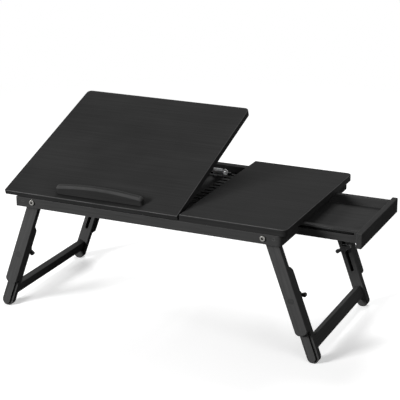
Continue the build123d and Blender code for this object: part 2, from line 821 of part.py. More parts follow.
def drawer_bearer():
    """Bearer beside the drawer's front side, under the side board."""
    x = (divider_x[1] + bearer_start_gap, frame_right_x - end_rail_thickness)
    return block(x, (-bearer_y - bearer_thickness, -bearer_y), rail_z)


def drawer_runner():
    """Strip on a bearer that runs in the drawer side's groove."""
    x = (divider_x[1] + bearer_start_gap, frame_right_x - end_rail_thickness)
    y = (-bearer_y, -drawer_outer_y + runner_groove_depth - runner_gap)
    return block(x, y, (groove_z[0] + runner_gap, groove_z[1] - runner_gap))


def frame_nodes():
    """Pieces of the fixed frame."""
    left_x_limits = (frame_left_x, frame_left_x + end_rail_thickness)
    right_x_limits = (frame_right_x - end_rail_thickness, frame_right_x)
    short_rail = cross_rail(right_x_limits, (-rail_inner_y, -opening_y))
    washer_y = (-rail_inner_y, -rail_inner_y + pivot_washer_thickness)
    nut_y = (-upper_inner + body_gap, -upper_inner + body_gap + pivot_nut_length)
    corners = [(side, lane) for side in sides for lane in lanes]
    front_pins = group([stop_pin(side, stop_pin_radius) for side in sides])
    front_dowels = group([frame_dowel(x, frame_dowel_radius, frame_dowel_depth) for x in frame_dowel_places()])
    front_screws = group([top_screw(x, 0, 0) for x in top_screw_xs()])
    pin_bars = [rod_x(hinge_y, hinge_z, around(x, hinge_length), hinge_pin_radius) for x in hinge_xs()]
    return {
        "front_rail": front_rail(),
        "back_rail": to_back(rail()),
        "left_end_rail": cross_rail(left_x_limits, (-rail_inner_y, rail_inner_y)),
        "right_end_rail_front": short_rail,
        "right_end_rail_back": to_back(short_rail),
        "centre_divider": centre_divider(),
        "side_board": side_board(),
        "side_board_screws": both_lanes(front_screws),
        "frame_dowels": both_lanes(front_dowels),
        "drawer_bearer_front": drawer_bearer(),
        "drawer_bearer_back": to_back(drawer_bearer()),
        "drawer_runner_front": drawer_runner(),
        "drawer_runner_back": to_back(drawer_runner()),
        "drawer_stop": drawer_stop(),
        "bay_slat": bay_slat(),
        "rack_board": rack_board(),
        "rack_left": rack(rack_xs["left"]),
        "rack_right": rack(rack_xs["right"]),
        "panel_hinge_rail_leaves": group([rail_leaf(x) for x in hinge_xs()]),
        "panel_hinge_pins": group(pin_bars),
        "leg_pivot_bolts": group([place_leg(pivot_bolt(), *corner) for corner in corners]),
        "leg_pivot_washers": group([place_leg(pivot_ring(washer_y, pivot_washer_radius), *c) for c in corners]),
        "leg_pivot_nuts": group([place_leg(pivot_ring(nut_y, pivot_nut_radius), *c) for c in corners]),
        "leg_stop_pins": both_lanes(front_pins),
    }


def panel_nodes():
    """Pieces that tilt, and the prop under them."""
    dowels = [tilted(dowel) for dowel in rest_dowel_holes(rest_dowel_radius, rest_dowel_depth)]
    return {
        "tilt_panel": tilt_panel(),
        "rest_bar": rest_bar(),
        "rest_bar_dowels": group(dowels),
        "panel_hinge_panel_leaves": group([panel_leaf(x) for x in hinge_xs()]),
        "prop_bracket": prop_bracket(),
        "prop_pin": tilted(prop_pin_bar(0)),
        "prop_arm_left": place_prop(prop_arm(prop_arm_xs[0])),
        "prop_arm_right": place_prop(prop_arm(prop_arm_xs[1]) + prop_pull(prop_arm_xs[1])),
        "prop_rod": place_prop(prop_rod()),
    }


def leg_nodes():
    """Pieces of the four legs and their clamps."""
    nodes = {}
    for side in sides:
        for lane in lanes:
            nodes[f"{side}_{lane}_upper_leg"] = place_leg(upper_leg(), side, lane)
            nodes[f"{side}_{lane}_lower_leg"] = footed(place_leg(lower_leg(), side, lane))
            knob = wing_knob(wing_turns[f"{side}_{lane}"])
            nodes[f"{side}_{lane}_wing_knob"] = place_leg(knob, side, lane)
        nodes[f"{side}_crossbar"] = place_leg(crossbar(), side, "front")
        dowel = crossbar_dowel(crossbar_dowel_radius, crossbar_dowel_depth)
        for name, piece in (("crossbar_dowels", dowel), ("clamp_bolts", clamp_bolt()),
                            ("clamp_washers", clamp_washer())):
            nodes[f"{side}_{name}"] = group([place_leg(piece, side, lane) for lane in lanes])
    return nodes


def drawer_nodes():
    """Pieces of the drawer."""
    return {
        "drawer_front": drawer_front(),
        "drawer_side_front": drawer_side(),
        "drawer_side_back": to_back(drawer_side()),
        "drawer_back": drawer_back(),
        "drawer_bottom": drawer_floor(0),
        "drawer_dowels": drawer_dowels(0),
    }


os.makedirs("parts", exist_ok=True)
for name, shape in {**frame_nodes(), **panel_nodes(), **leg_nodes(), **drawer_nodes()}.items():
    export_step(shape, f"parts/{name}.step")
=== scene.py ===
import json
from math import atan2, cos, pi, radians, sin

import bmesh
import bpy
from bpy.props import FloatProperty, FloatVectorProperty, IntProperty, PointerProperty
from mathutils import Matrix, Vector


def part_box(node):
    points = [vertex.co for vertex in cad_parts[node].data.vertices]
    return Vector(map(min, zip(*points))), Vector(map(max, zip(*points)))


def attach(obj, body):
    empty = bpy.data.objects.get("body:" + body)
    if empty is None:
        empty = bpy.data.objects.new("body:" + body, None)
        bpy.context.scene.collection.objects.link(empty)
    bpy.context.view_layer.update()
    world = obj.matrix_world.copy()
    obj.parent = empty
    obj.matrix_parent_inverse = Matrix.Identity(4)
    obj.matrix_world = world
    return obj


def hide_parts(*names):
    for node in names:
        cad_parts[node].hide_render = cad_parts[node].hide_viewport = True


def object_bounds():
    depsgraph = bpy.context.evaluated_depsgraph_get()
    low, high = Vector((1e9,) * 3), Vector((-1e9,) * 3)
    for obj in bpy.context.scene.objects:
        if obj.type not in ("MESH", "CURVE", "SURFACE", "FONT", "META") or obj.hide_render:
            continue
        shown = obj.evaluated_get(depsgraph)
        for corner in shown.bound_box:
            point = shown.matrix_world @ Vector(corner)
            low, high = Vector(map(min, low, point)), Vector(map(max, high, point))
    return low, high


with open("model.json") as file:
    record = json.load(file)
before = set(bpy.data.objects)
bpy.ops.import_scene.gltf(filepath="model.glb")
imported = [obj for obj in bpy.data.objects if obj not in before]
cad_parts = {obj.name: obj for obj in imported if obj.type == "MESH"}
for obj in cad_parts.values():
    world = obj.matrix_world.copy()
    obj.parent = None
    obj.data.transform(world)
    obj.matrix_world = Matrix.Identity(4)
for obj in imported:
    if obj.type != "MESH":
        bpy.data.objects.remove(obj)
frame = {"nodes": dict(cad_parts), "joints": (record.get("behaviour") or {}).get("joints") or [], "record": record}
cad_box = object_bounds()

bl_info = {
    "name": "Laptop Table",
    "version": (1, 0, 0),
    "blender": (4, 5, 0),
    "location": "View3D > Sidebar > Laptop Table",
    "description": "Finishes, wing knobs, screws, floor, lamps and camera of a folding laptop table",
    "category": "Object",
}

SIDES = ("left", "right")
LANES = ("front", "back")
BODY_OF = {node: body for body, nodes in frame["record"]["behaviour"]["bodies"].items() for node in nodes}
JOINTS = {joint["name"]: joint for joint in frame["joints"]}
TILT = radians(-JOINTS["panel_tilt"]["range_deg"][0])
TILT_PLACE = Vector(JOINTS["panel_tilt"]["pos_m"])

# Nodes that share a finish
LONG_RAILS = ("front_rail", "back_rail", "drawer_bearer_front", "drawer_bearer_back",
              "drawer_runner_front", "drawer_runner_back", "bay_slat")
CROSS_RAILS = ("left_end_rail", "right_end_rail_front", "right_end_rail_back", "centre_divider",
               "drawer_stop", "rack_board", "rack_left", "rack_right", "leg_stop_pins")
DRAWER_LONG = ("drawer_side_front", "drawer_side_back", "drawer_bottom")
DRAWER_CROSS = ("drawer_front", "drawer_back")
PROP_ARMS = ("prop_arm_left", "prop_arm_right")
PROP_STEEL = ("prop_bracket", "prop_pin", "left_clamp_washers", "right_clamp_washers")
PLATED_BOLTS = ("leg_pivot_bolts", "leg_pivot_nuts")
CLAMP_BOLTS = ("left_clamp_bolts", "right_clamp_bolts")
BLACK_STEEL = ("panel_hinge_rail_leaves", "panel_hinge_panel_leaves", "panel_hinge_pins", "prop_rod")
DOWELS = ("frame_dowels", "rest_bar_dowels", "drawer_dowels", "left_crossbar_dowels",
          "right_crossbar_dowels")

# Turns of the grain: along the table and across it
ALONG = (0.0, 0.0, 0.0)
ACROSS = (0.0, 0.0, pi / 2)

# A noise pattern keeps mostly between these values
NOISE_LOW = 0.3
NOISE_HIGH = 0.7

# Shares of a screw's head: half the square that its cross is cut from, the depth of the cross, its
# straight rim and its cone, and the tip, shank and height of a small screw
CROSS_CELLS = 7
CROSS_REACH_CELLS = 2.6
CROSS_SQUARE_SHARE = 0.68
CROSS_DEPTH_SHARE = 0.6
HEAD_RIM_SHARE = 0.25
HEAD_CONE_SHARE = 0.75
TIP_SHARE = 0.2
SHANK_SHARE = 0.5
LEAF_HEAD_SHARE = 0.6

# Shares of a wing knob: where the wings start to widen, how far out their ends begin, how round the
# ends are, and the dish in the hub's top; edges sharper than the angle are rounded
WING_FLARE_SHARE = 0.9
WING_END_SHARE = 0.45
WING_ROUND_SHARE = 0.48
DISH_SHARE = 0.62
SHARP_ANGLE = 1.2

# Points closer than this are merged, in metres
MERGE_REACH = 0.000001

# Place and width of the soft boxes and the point that they are turned to, in metres
LAMP_AIM = (0, 0, 0.2)
FRONT_LAMP_PLACE = (-1.5, -2.6, 1.3)
FRONT_LAMP_WIDTH = 0.9
TOP_LAMP_PLACE = (-0.2, 1.3, 2.1)
TOP_LAMP_WIDTH = 1.2
SIDE_LAMP_PLACE = (1.9, -1.4, 1.6)
SIDE_LAMP_WIDTH = 1.4

# The floor has faded to white at this many times the distance where it starts to
FADE_SPAN = 3

# Width of the camera's sensor in millimetres, and how far it sees in metres
SENSOR_WIDTH = 36
CAMERA_REACH = 100


def linear(code):
    """Linear colour, with alpha, of an sRGB hex code."""
    shares = [int(code[i:i + 2], 16) / 255 for i in (0, 2, 4)]
    return tuple(s / 12.92 if s <= 0.04045 else ((s + 0.055) / 1.055) ** 2.4 for s in shares) + (1.0,)


def colour(name, description, code):
    """Colour setting with an sRGB hex default."""
    return FloatVectorProperty(name=name, description=description, subtype="COLOR", size=4, min=0, max=1,
                               default=linear(code))


def length(name, description, millimetres):
    """Length setting with a default in millimetres."""
    return FloatProperty(name=name, description=description, subtype="DISTANCE", unit="LENGTH", min=0,
                         default=millimetres / 1000)


def angle(name, description, turn):
    """Angle setting with a default in degrees."""
    return FloatProperty(name=name, description=description, subtype="ANGLE", unit="ROTATION",
                         default=radians(turn))


def lamp_power(name, description, watts):
    """Power setting of a lamp."""
    return FloatProperty(name=name, description=description, subtype="POWER", unit="POWER", min=0,
                         default=watts)


def light_strength(name, description, strength):
    """Setting of a light's strength, without a unit."""
    return FloatProperty(name=name, description=description, min=0, default=strength)


class LaptopTableFinish(bpy.types.PropertyGroup):
    """Colours of the paint, metal, plastic and bare wood."""
    board_paint: colour("Board paint", "Satin black on the two top boards", "2c2c2c")
    rail_paint: colour("Rail paint", "Satin black on the rails and the drawer", "3b3b3b")
    leg_paint: colour("Leg paint", "Satin black on the legs and crossbars", "464646")
    rest_paint: colour("Rest bar paint", "Satin black on the rest bar", "303030")
    # Pale edge paint: rubbed wear and a painted highlight along the edges
    rub_and_highlight_paint: colour("Rubbed paint", "Paint where edges have been handled", "5a5a5a")
    nickel: colour("Nickel plate", "Plating of the leg pivot bolts", "868582")
    zinc: colour("Zinc plate", "Plating of the prop, its bracket and the screws", "f0f1f2")
    black_oxide: colour("Black oxide", "Finish of the hinges, the foot rod and the prop's arms", "1d1d1f")
    bolt_cap: colour("Clamp bolt", "Black paint on the heads of the clamp bolts", "424242")
    knob_plastic: colour("Knob plastic", "Moulded plastic of the wing knobs", "141415")
    beech: colour("Beech", "Bare wood of the dowels", "b98f63")


class LaptopTableSizes(bpy.types.PropertyGroup):
    """Sizes of the wing knobs, the screws and the prop's bright foot."""
    knob_hub_radius: length("Hub radius", "Radius of a wing knob's hub", 7)
    knob_skirt: length("Hub skirt", "Height of the ring at the hub's foot", 1.6)
    knob_bore_radius: length("Knob bore", "Radius of the bore for the clamp bolt", 3.05)
    knob_cap: length("Knob cap", "Thickness of plastic over the end of the bolt", 2)
    wing_span: length("Wing span", "Length across both wings of a knob", 32)
    wing_neck: length("Wing neck", "Width of a wing beside the hub", 5)
    wing_end: length("Wing end", "Width of a wing at its end", 9)
    wing_height: length("Wing height", "Height of the wings along the bolt", 7)
    wing_edge: length("Wing edge", "Rounding of the wing edges", 1)
    turning_steps: IntProperty(name="Turning steps", description="Faces round a knob's hub", min=12,
                               default=40)
    prop_foot: length("Prop foot", "Length of the bright end of the prop's arms", 17)
    leaf_screw_radius: length("Leaf screw", "Head radius of the hinge and bracket screws", 1.9)
    leaf_screw_length: length("Leaf screw length", "Length of the hinge and bracket screws", 6)
    leaf_length: length("Hinge leaf", "Length of a hinge leaf", 40)
    leaf_screw_spread: length("Leaf screw spread", "Distance between the two screws of a leaf", 26)
    rail_screw_setback: length("Rail screw setback",
                               "Distance of a rail leaf's screws from the hinge pin", 6.2)
    panel_screw_setback: length("Panel screw setback",
                                "Distance of a panel leaf's screws from the hinge pin", 12.5)
    bracket_screw_spread: length("Bracket screw spread", "Distance between the prop bracket's screws", 13)
    board_screw_radius: length("Board screw", "Head radius of the screws under the side board", 4)
    board_screw_head: length("Board screw head", "Height of the screw heads under the side board", 2.5)


class LaptopTableStage(bpy.types.PropertyGroup):
    """Floor, lamps and camera."""
    floor_colour: colour("Floor", "Plain pale floor", "f4f4f4")
    floor_size: length("Floor size", "Width of the floor", 60000)
    floor_fade: length("Floor fade", "Distance from the middle where the floor starts to fade to white", 600)
    floor_bounce: colour("Floor bounce", "Floor as it lights the table from below", "262626")
    floor_lift: light_strength("Floor lift", "Light added to the floor for the camera", 0.42)
    surround: light_strength("Surround", "Strength of the even light all round", 0.05)
    front_lamp: lamp_power("Front lamp", "Power of the front soft box", 112)
    top_lamp: lamp_power("Top lamp", "Power of the soft box above the back", 34)
    side_lamp: lamp_power("Side lamp", "Power of the soft box at the right", 16)
    camera_place: FloatVectorProperty(name="Camera place", description="Where the camera stands",
                                      subtype="TRANSLATION", unit="LENGTH",
                                      default=(1.01205, -2.10464, 1.008))
    camera_yaw: angle("Camera yaw", "Turn of the view to the left of the back", 24.835)
    camera_pitch: angle("Camera pitch", "Tip of the view below level", 18.869)
    camera_roll: angle("Camera roll", "Roll of the camera", -0.21)
    camera_lens: FloatProperty(name="Camera lens", description="Focal length in millimetres",
                               subtype="DISTANCE_CAMERA", min=1, default=118.95)


def add(tree, kind, inputs=(), **settings):
    """Add a shader node with its settings; an input is a value, or the socket that is linked to it."""
    node = tree.nodes.new(kind)
    for name, value in settings.items():
        setattr(node, name, value)
    for key, value in dict(inputs).items():
        if isinstance(value, bpy.types.NodeSocket):
            tree.links.new(value, node.inputs[key])
        else:
            node.inputs[key].default_value = value
    return node


def new_material(name):
    """Empty material and its node tree."""
    material = bpy.data.materials.new(name)
    material.use_nodes = True
    material.node_tree.nodes.clear()
    return material, material.node_tree


def shaded(paint, share):
    """Colour made darker or lighter by a share."""
    return tuple(min(1.0, part * share) for part in paint[:3]) + (1.0,)


def patchy(tree, place, edge, size, detail, least):
    """Edge mask broken up into patches of a size, for rubbed wear and painted highlights; a least share stays."""
    patches = add(tree, "ShaderNodeTexNoise", {"Vector": place, "Scale": 1 / size, "Detail": detail})
    patch = add(tree, "ShaderNodeMapRange", {"Value": patches.outputs[0], "From Min": NOISE_LOW,
                                             "From Max": NOISE_HIGH, "To Min": least})
    return add(tree, "ShaderNodeMath", {0: edge, 1: patch.outputs["Result"]},
               operation="MULTIPLY").outputs[0]


def edge_wear_and_highlight(tree, place, reach):
    """Mask of the edges within reach, broken up into patches; it carries rubbed wear and a painted highlight."""
    soft = add(tree, "ShaderNodeBevel", {"Radius": reach}, samples=4)
    flat = add(tree, "ShaderNodeNewGeometry")
    same = add(tree, "ShaderNodeVectorMath", {0: soft.outputs["Normal"], 1: flat.outputs["True Normal"]},
               operation="DOT_PRODUCT")
    # Cosines of the bend at which an edge starts to show and shows fully
    bend_start = 0.99
    bend_full = 0.8
    edge = add(tree, "ShaderNodeMapRange", {"Value": same.outputs["Value"], "From Min": bend_start,
                                            "From Max": bend_full})
    patch_size = 0.012
    return patchy(tree, place, edge.outputs["Result"], patch_size, detail=3.0, least=0.25)


def rounded_edge_rub_and_highlight(tree, place, tilt):
    """Mask of the painted highlight and rubbed paint on the rounded upper and lower edges of a board that is
    raised by a tilt.
    """
    facing_out = add(tree, "ShaderNodeTexCoord").outputs["Normal"]
    level = add(tree, "ShaderNodeMapping", {"Vector": facing_out, "Rotation": (-tilt, 0.0, 0.0)})
    parts = add(tree, "ShaderNodeSeparateXYZ", {"Vector": level.outputs["Vector"]})
    upright = add(tree, "ShaderNodeMath", {0: parts.outputs["Z"]}, operation="ABSOLUTE").outputs[0]
    # Upright share of the direction, where a board's side ends and where its flat top starts
    side_end = 0.1
    side_gone = 0.35
    top_start = 0.95
    top_full = 0.995
    off_side = add(tree, "ShaderNodeMapRange", {"Value": upright, "From Min": side_end,
                                                "From Max": side_gone})
    off_top = add(tree, "ShaderNodeMapRange", {"Value": upright, "From Min": top_full,
                                               "From Max": top_start})
    edge = add(tree, "ShaderNodeMath", {0: off_side.outputs["Result"], 1: off_top.outputs["Result"]},
               operation="MULTIPLY")
    patch_size = 0.04
    return patchy(tree, place, edge.outputs[0], patch_size, detail=2.0, least=0.55)


def painted_recess_shade(tree, unshaded, dark, reach, alone):
    """Colour with painted shade in recesses within reach, of the piece alone or with its neighbours."""
    open_air = add(tree, "ShaderNodeAmbientOcclusion", {"Distance": reach}, samples=8, only_local=alone)
    # Shares of open air at which the painted shade is full and at which it is gone
    shut = 0.45
    clear = 0.9
    recess_shade = add(tree, "ShaderNodeMapRange", {"Value": open_air.outputs["AO"], "From Min": shut,
                                            "From Max": clear})
    return add(tree, "ShaderNodeMix", {0: recess_shade.outputs["Result"], 6: dark, 7: unshaded},
               data_type="RGBA").outputs[2]


def surface(tree, inputs, relief, strength, depth):
    """Shader with these inputs and a relief of a depth, led to the material's output."""
    bump = add(tree, "ShaderNodeBump", {"Height": relief, "Strength": strength, "Distance": depth})
    shader = add(tree, "ShaderNodeBsdfPrincipled", {**inputs, "Normal": bump.outputs["Normal"]})
    add(tree, "ShaderNodeOutputMaterial", {"Surface": shader.outputs["BSDF"]})


def painted_wood(name, paint, rub_and_highlight, turn, tilt=None):
    """Satin black paint over solid wood, grain along the piece; a tilt is given for the painted highlight on
    rounded edges.
    """
    # Sprayed lacquer on pine or rubberwood: nearly black, low sheen, and the grain stays as faint long ridges in
    # the paint, with a lighter line along the edges that is partly rubbed paint and partly a painted highlight
    material, tree = new_material(name)
    place = add(tree, "ShaderNodeTexCoord").outputs["Object"]
    # Grain lines are about 0.8 mm wide, and are drawn wider so that they show
    grain_length = 0.07
    grain_width = 0.0022
    along = add(tree, "ShaderNodeMapping", {"Vector": place, "Rotation": turn,
                                            "Scale": (grain_length, grain_width, grain_width)},
                vector_type="TEXTURE")
    grain = add(tree, "ShaderNodeTexNoise", {"Vector": along.outputs["Vector"], "Scale": 1.0, "Detail": 4.0,
                                             "Roughness": 0.6})
    tones = add(tree, "ShaderNodeValToRGB", {"Fac": grain.outputs[0]})
    tones.color_ramp.elements[0].position = NOISE_LOW
    tones.color_ramp.elements[0].color = shaded(paint, 0.82)
    tones.color_ramp.elements[1].position = 0.72
    tones.color_ramp.elements[1].color = shaded(paint, 1.16)
    # Uneven spraying leaves clouds
    cloud_size = 0.08
    clouds = add(tree, "ShaderNodeTexNoise", {"Vector": place, "Scale": 1 / cloud_size, "Detail": 2.0})
    thin = add(tree, "ShaderNodeMapRange", {"Value": clouds.outputs[0], "From Min": NOISE_LOW,
                                            "From Max": NOISE_HIGH, "To Max": 0.35})
    sprayed = add(tree, "ShaderNodeMix", {0: thin.outputs["Result"], 6: tones.outputs["Color"],
                                          7: shaded(paint, 1.25)}, data_type="RGBA")
    edge_reach = 0.0016
    # Lighter edges: rubbed paint and a painted highlight
    edges = edge_wear_and_highlight(tree, place, edge_reach) if tilt is None else rounded_edge_rub_and_highlight(tree, place, tilt)
    edge_toned = add(tree, "ShaderNodeMix", {0: edges, 6: sprayed.outputs[2], 7: tuple(rub_and_highlight)}, data_type="RGBA")
    # Painted shade darkens grooves and slots this far across
    groove_width = 0.008
    colours = painted_recess_shade(tree, edge_toned.outputs[2], shaded(paint, 0.15), groove_width, alone=True)
    sheen = add(tree, "ShaderNodeMapRange", {"Value": clouds.outputs[0], "From Min": NOISE_LOW,
                                             "From Max": NOISE_HIGH, "To Min": 0.5, "To Max": 0.62})
    # Specks of spray lie over the grain ridges
    speck_spacing = 0.0015
    ridge_height = 0.0003
    specks = add(tree, "ShaderNodeTexNoise", {"Vector": place, "Scale": 1 / speck_spacing, "Detail": 2.0})
    relief = add(tree, "ShaderNodeMath", {0: grain.outputs[0], 1: specks.outputs[0]}, operation="ADD")
    surface(tree, {"Base Color": colours, "Roughness": sheen.outputs["Result"], "Specular IOR Level": 0.001},
            relief.outputs[0], strength=0.35, depth=ridge_height)
    return material


def painted_board(name, paint, rub_and_highlight, tilt=0.0):
    """Satin black paint on a smooth ground, as on the two top boards and the clamp bolts."""
    # Smooth fibreboard or steel sprayed black: no grain, a fine even texture, a low sheen and pale edges that are
    # partly rubbed paint and partly a painted highlight
    material, tree = new_material(name)
    place = add(tree, "ShaderNodeTexCoord").outputs["Object"]
    # Sanding before the paint leaves faint streaks
    streak_length = 0.15
    streak_width = 0.003
    along = add(tree, "ShaderNodeMapping", {"Vector": place,
                                            "Scale": (streak_length, streak_width, streak_width)},
                vector_type="TEXTURE")
    streaks = add(tree, "ShaderNodeTexNoise", {"Vector": along.outputs["Vector"], "Scale": 1.0,
                                               "Detail": 3.0})
    # Uneven spraying leaves clouds
    cloud_size = 0.12
    clouds = add(tree, "ShaderNodeTexNoise", {"Vector": place, "Scale": 1 / cloud_size, "Detail": 2.0})
    both = add(tree, "ShaderNodeMath", {0: streaks.outputs[0], 1: clouds.outputs[0]}, operation="ADD")
    amount = add(tree, "ShaderNodeMapRange", {"Value": both.outputs[0], "From Min": 0.7, "From Max": 1.3})
    tones = add(tree, "ShaderNodeValToRGB", {"Fac": amount.outputs["Result"]})
    tones.color_ramp.elements[0].color = shaded(paint, 0.82)
    tones.color_ramp.elements[1].color = shaded(paint, 1.18)
    # Pale edges: rubbed paint and a painted highlight
    edge_toned = add(tree, "ShaderNodeMix", {0: rounded_edge_rub_and_highlight(tree, place, tilt), 6: tones.outputs["Color"],
                                       7: tuple(rub_and_highlight)}, data_type="RGBA")
    # Painted shade darkens the board this close to whatever stands on it or under its edge
    dust_reach = 0.014
    colours = painted_recess_shade(tree, edge_toned.outputs[2], shaded(paint, 0.3), dust_reach, alone=False)
    sheen = add(tree, "ShaderNodeMapRange", {"Value": clouds.outputs[0], "From Min": NOISE_LOW,
                                             "From Max": NOISE_HIGH, "To Min": 0.5, "To Max": 0.6})
    speck_spacing = 0.0012
    speck_height = 0.0002
    specks = add(tree, "ShaderNodeTexNoise", {"Vector": place, "Scale": 1 / speck_spacing, "Detail": 2.0})
    surface(tree, {"Base Color": colours, "Roughness": sheen.outputs["Result"], "Specular IOR Level": 0.006},
            specks.outputs[0], strength=0.25, depth=speck_height)
    return material


def plated_steel(name, plate, edge_colour, roughness, metal=1.0, black=None, bare_from=0.0):
    """Steel with a thin plating, as bolts and pressed hardware have; black covers it up to a place."""
    # Plated steel: bright grey metal with fine drawn scratches, a patchy sheen, duller edges and painted shade in
    # sockets; passivated zinc is paler and less of a mirror, so it is given less metal
    material, tree = new_material(name)
    place = add(tree, "ShaderNodeTexCoord").outputs["Object"]
    patch_size = 0.004
    patches = add(tree, "ShaderNodeTexNoise", {"Vector": place, "Scale": 1 / patch_size, "Detail": 3.0})
    tones = add(tree, "ShaderNodeValToRGB", {"Fac": patches.outputs[0]})
    tones.color_ramp.elements[0].position = NOISE_LOW
    tones.color_ramp.elements[0].color = shaded(plate, 0.72)
    tones.color_ramp.elements[1].position = NOISE_HIGH
    tones.color_ramp.elements[1].color = tuple(plate)
    edge_reach = 0.0006
    # Edges take their own colour: duller worn plating on bright metal, and on black oxide the pale rub paint,
    # which is also a painted highlight
    edge_toned = add(tree, "ShaderNodeMix", {0: edge_wear_and_highlight(tree, place, edge_reach), 6: tones.outputs["Color"],
                                       7: tuple(edge_colour)}, data_type="RGBA")
    # Painted shade darkens sockets and corners this far across
    socket_width = 0.004
    colours = painted_recess_shade(tree, edge_toned.outputs[2], shaded(plate, 0.03), socket_width, alone=True)
    if black is not None:
        # Dipped in black, with the plating left bare from one place to the back
        dip_edge = 0.002
        back = add(tree, "ShaderNodeSeparateXYZ", {"Vector": place}).outputs["Y"]
        bare = add(tree, "ShaderNodeMapRange", {"Value": back, "From Min": bare_from,
                                                "From Max": bare_from + dip_edge})
        colours = add(tree, "ShaderNodeMix", {0: bare.outputs["Result"], 6: tuple(black), 7: colours},
                      data_type="RGBA").outputs[2]
    sheen = add(tree, "ShaderNodeMapRange", {"Value": patches.outputs[0], "From Min": NOISE_LOW,
                                             "From Max": NOISE_HIGH, "To Min": roughness - 0.06,
                                             "To Max": roughness + 0.08})
    # Rolling leaves fine scratches
    scratch_length = 0.012
    scratch_width = 0.0003
    scratch_depth = 0.00005
    along = add(tree, "ShaderNodeMapping", {"Vector": place,
                                            "Scale": (scratch_width, scratch_length, scratch_width)},
                vector_type="TEXTURE")
    scratches = add(tree, "ShaderNodeTexNoise", {"Vector": along.outputs["Vector"], "Scale": 1.0,
                                                 "Detail": 2.0})
    surface(tree, {"Base Color": colours, "Metallic": metal, "Roughness": sheen.outputs["Result"]},
            scratches.outputs[0], strength=0.2, depth=scratch_depth)
    return material


def moulded_plastic(name, base):
    """Black glass-filled nylon of the wing knobs and washers."""
    # Moulded nylon: deep black, a soft sheen and the fine grain of the mould, paler along its edges from rubbed
    # wear and a painted highlight
    material, tree = new_material(name)
    place = add(tree, "ShaderNodeTexCoord").outputs["Object"]
    mould_grain = 0.0006
    grain_depth = 0.0001
    grain = add(tree, "ShaderNodeTexNoise", {"Vector": place, "Scale": 1 / mould_grain, "Detail": 2.0})
    # Handling leaves patches
    patch_size = 0.009
    patches = add(tree, "ShaderNodeTexNoise", {"Vector": place, "Scale": 1 / patch_size, "Detail": 2.0})
    tones = add(tree, "ShaderNodeValToRGB", {"Fac": patches.outputs[0]})
    tones.color_ramp.elements[0].color = shaded(base, 0.7)
    tones.color_ramp.elements[1].color = shaded(base, 1.5)
    edge_reach = 0.0008
    # Paler edges: rubbed wear and a painted highlight
    edge_toned = add(tree, "ShaderNodeMix", {0: edge_wear_and_highlight(tree, place, edge_reach), 6: tones.outputs["Color"],
                                       7: shaded(base, 4.0)}, data_type="RGBA")
    sheen = add(tree, "ShaderNodeMapRange", {"Value": patches.outputs[0], "From Min": NOISE_LOW,
                                             "From Max": NOISE_HIGH, "To Min": 0.36, "To Max": 0.5})
    surface(tree, {"Base Color": edge_toned.outputs[2], "Roughness": sheen.outputs["Result"],
                   "Specular IOR Level": 0.2}, grain.outputs[0], strength=0.3, depth=grain_depth)
    return material


def bare_beech(name, base):
    """Bare beech of the dowels."""
    # Turned beech: pale brown with short dark flecks along the grain
    material, tree = new_material(name)
    place = add(tree, "ShaderNodeTexCoord").outputs["Object"]
    fleck_length = 0.004
    fleck_width = 0.0005
    fleck_depth = 0.0001
    along = add(tree, "ShaderNodeMapping", {"Vector": place,
                                            "Scale": (fleck_width, fleck_length, fleck_width)},
                vector_type="TEXTURE")
    flecks = add(tree, "ShaderNodeTexNoise", {"Vector": along.outputs["Vector"], "Scale": 1.0,
                                              "Detail": 3.0})
    tones = add(tree, "ShaderNodeValToRGB", {"Fac": flecks.outputs[0]})
    tones.color_ramp.elements[0].position = NOISE_LOW
    tones.color_ramp.elements[0].color = shaded(base, 0.6)
    tones.color_ramp.elements[1].position = 0.6
    tones.color_ramp.elements[1].color = tuple(base)
    rough = add(tree, "ShaderNodeMapRange", {"Value": flecks.outputs[0], "To Min": 0.6, "To Max": 0.75})
    surface(tree, {"Base Color": tones.outputs["Color"], "Roughness": rough.outputs["Result"]},
            flecks.outputs[0], strength=0.3, depth=fleck_depth)
    return material


def finish_nodes(nodes, material):
    """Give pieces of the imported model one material."""
    for node in nodes:
        slots = frame["nodes"][node].data.materials
        slots.clear()
        slots.append(material)


def leg_turn(side):
    """Turn that lays the grain along one side's legs."""
    axis = JOINTS[f"{side}_leg_extend"]["axis"]
    return (0.0, atan2(-axis[2], axis[0]), 0.0)


def finished_piece(bm, name, body, material, nodes=()):
    """Make a modelled mesh a piece that rides on a body and stands for nodes."""
    bmesh.ops.remove_doubles(bm, verts=bm.verts, dist=MERGE_REACH)
    bmesh.ops.recalc_face_normals(bm, faces=bm.faces)
    mesh = bpy.data.meshes.new(name)
    bm.to_mesh(mesh)
    bm.free()
    mesh.materials.append(material)
    piece = bpy.data.objects.new(name, mesh)
    bpy.context.scene.collection.objects.link(piece)
    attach(piece, body)
    if nodes:
        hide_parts(*nodes)
    return piece


def turned_body(bm, profile, steps):
    """Spin a profile of radius and height pairs about Z; gives its vertices."""
    verts = [bm.verts.new((radius, 0, height)) for radius, height in profile]
    edges = [bm.edges.new(pair) for pair in zip(verts, verts[1:])]
    before = set(bm.verts) - set(verts)
    bmesh.ops.spin(bm, geom=verts + edges, cent=(0, 0, 0), axis=(0, 0, 1), angle=2 * pi, steps=steps,
                   use_merge=True)
    return [vert for vert in bm.verts if vert not in before]


